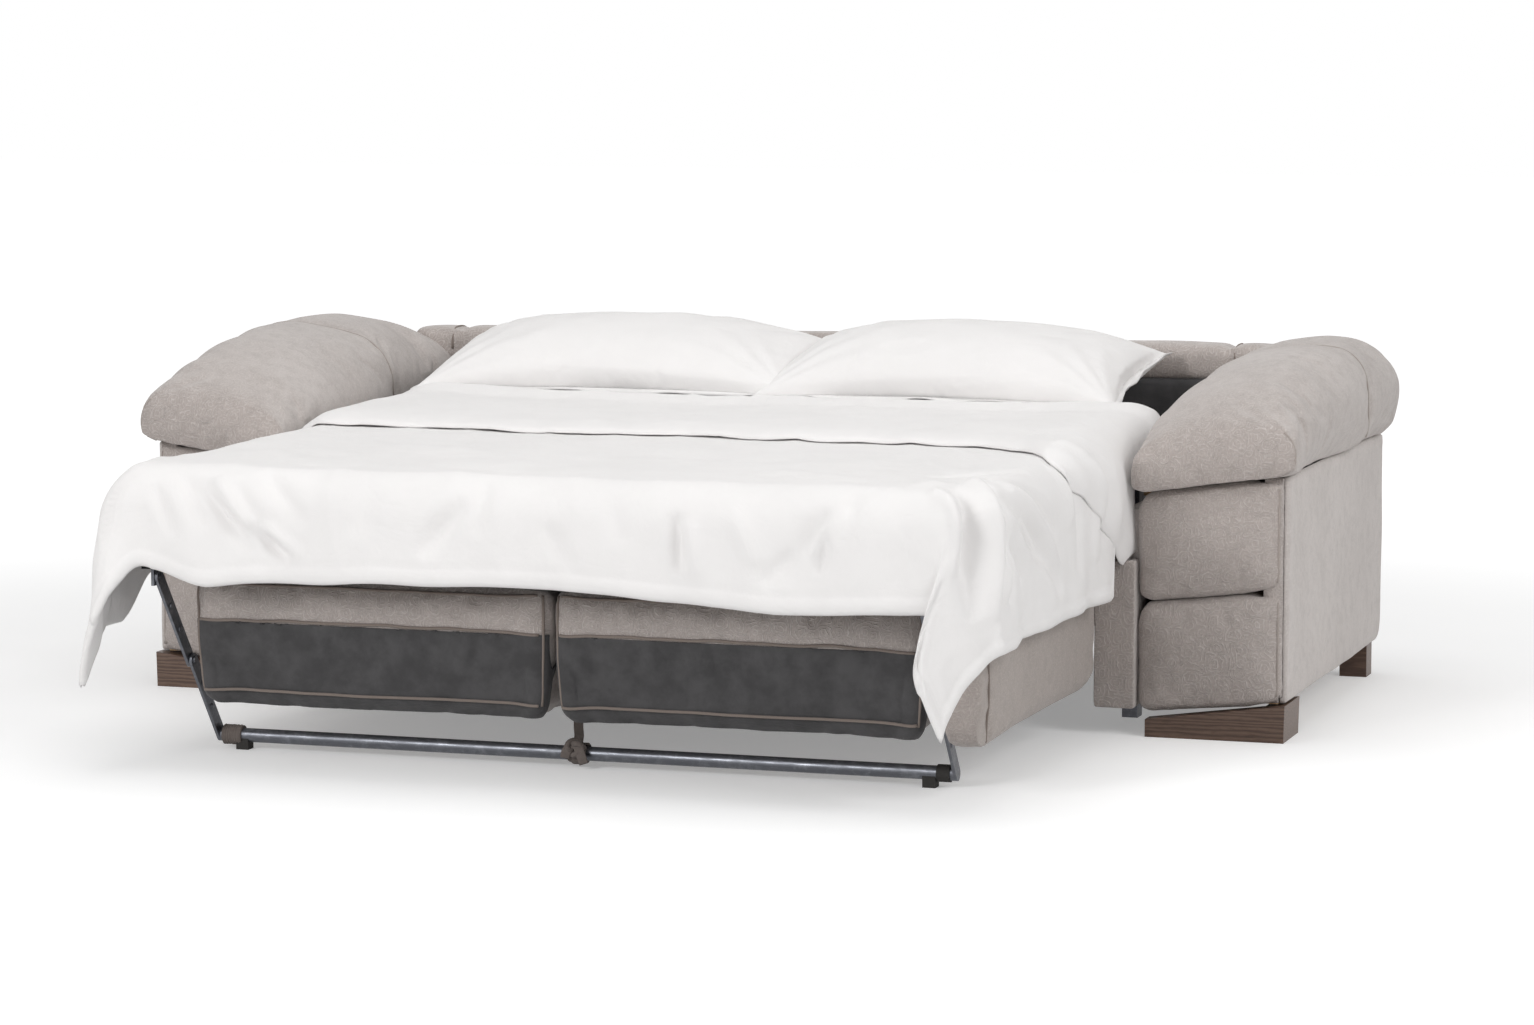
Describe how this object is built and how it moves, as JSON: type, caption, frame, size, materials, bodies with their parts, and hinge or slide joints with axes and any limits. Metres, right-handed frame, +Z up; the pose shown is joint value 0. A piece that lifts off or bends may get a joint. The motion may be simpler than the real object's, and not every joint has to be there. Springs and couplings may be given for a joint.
{
  "type": "sofa bed",
  "caption": "Wide upholstered sofa bed shown opened: fold-over bed section with duvet and pillows, hanging seat blocks, folding steel support leg, pillow-topped arms.",
  "frame": {"origin": "bottom centre of the box around the opened sofa bed, on the floor", "axes": "+X to the right arm seen from the foot of the bed, +Y towards the back, +Z up"},
  "size_m": [2.6088, 2.1282, 0.7681],
  "materials": {
    "upholstery": "matt greige upholstery cloth with a fine embossed ring pattern",
    "lining": "matt charcoal lining cloth",
    "black_board": "board covered in black cloth",
    "plain_wood": "bare plywood and beech slats",
    "dark_wood": "stained dark walnut",
    "bedding": "white cotton",
    "steel": "grey painted steel, satin",
    "nylon": "black nylon",
    "rubber": "dark rubber"
  },
  "bodies": {
    "sofa": {"arm_block_lower_left": "upholstery", "arm_block_lower_right": "upholstery", "arm_block_middle_left": "upholstery", "arm_block_middle_right": "upholstery", "arm_pillow_left": "upholstery", "arm_pillow_right": "upholstery", "arm_board_left": "plain_wood", "arm_board_right": "plain_wood", "arm_side_cover_left": "upholstery", "arm_side_cover_right": "upholstery", "front_foot_left": "dark_wood", "front_foot_right": "dark_wood", "back_feet": "dark_wood", "gap_panel_left": "upholstery", "gap_panel_right": "upholstery", "base_rail_left": "upholstery", "base_rail_right": "upholstery", "back_frame": "plain_wood", "back_lining": "lining", "back_roll": "upholstery", "back_rear_cover": "upholstery", "lift_guide_left": "steel", "lift_guide_right": "steel"},
    "head_section": {"head_frame": "steel", "head_slats": "plain_wood", "head_gliders": "nylon", "head_fold_plates": "steel", "fold_pins": "steel", "mattress_head": "bedding", "pillow_left": "bedding", "pillow_right": "bedding", "duvet_turned_back": "bedding"},
    "foot_section": {"foot_frame": "steel", "foot_slats": "plain_wood", "foot_fold_plates": "steel", "mattress_foot": "bedding", "seat_board": "black_board", "seat_block_left": "upholstery", "seat_block_right": "upholstery", "seat_flank_left": "upholstery", "seat_flank_right": "upholstery", "seat_end_lining_left": "lining", "seat_end_lining_right": "lining", "leg_brackets": "steel", "leg_pivot_pins": "steel", "duvet": "bedding"},
    "leg_link": {"leg_upper_plates": "steel", "leg_knee_pins": "steel"},
    "leg_frame": {"leg_bars": "steel", "leg_tube": "steel", "leg_end_collars": "rubber", "leg_strap_loop": "upholstery", "leg_glides": "rubber"}
  },
  "joints": [
    {"name": "bed_fold", "type": "hinge", "parent": "head_section", "child": "foot_section", "pos_m": [0, -0.04587, 0.562], "axis": [-1, 0, 0], "range_deg": [0, 180], "deforming": ["duvet", "duvet_turned_back", "pillow_left", "pillow_right"]},
    {"name": "head_sink", "type": "slide", "parent": "sofa", "child": "head_section", "axis": [0, 0, -1], "range_m": [0, 0.3901]},
    {"name": "leg_swing", "type": "hinge", "parent": "foot_section", "child": "leg_link", "pos_m": [0, -0.95287, 0.375], "axis": [-1, 0, 0], "range_deg": [0, 36.6]},
    {"name": "leg_tuck", "type": "hinge", "parent": "leg_link", "child": "leg_frame", "pos_m": [0, -0.81896, 0.19419], "axis": [-1, 0, 0], "range_deg": [0, 172.1]}
  ],
  "couplings": [
    {"joint": "head_sink", "follows": "bed_fold", "m_per_rad": 0.12414},
    {"joint": "leg_swing", "follows": "bed_fold", "ratio": 0.20292},
    {"joint": "leg_tuck", "follows": "bed_fold", "ratio": 0.95556}
  ]
}
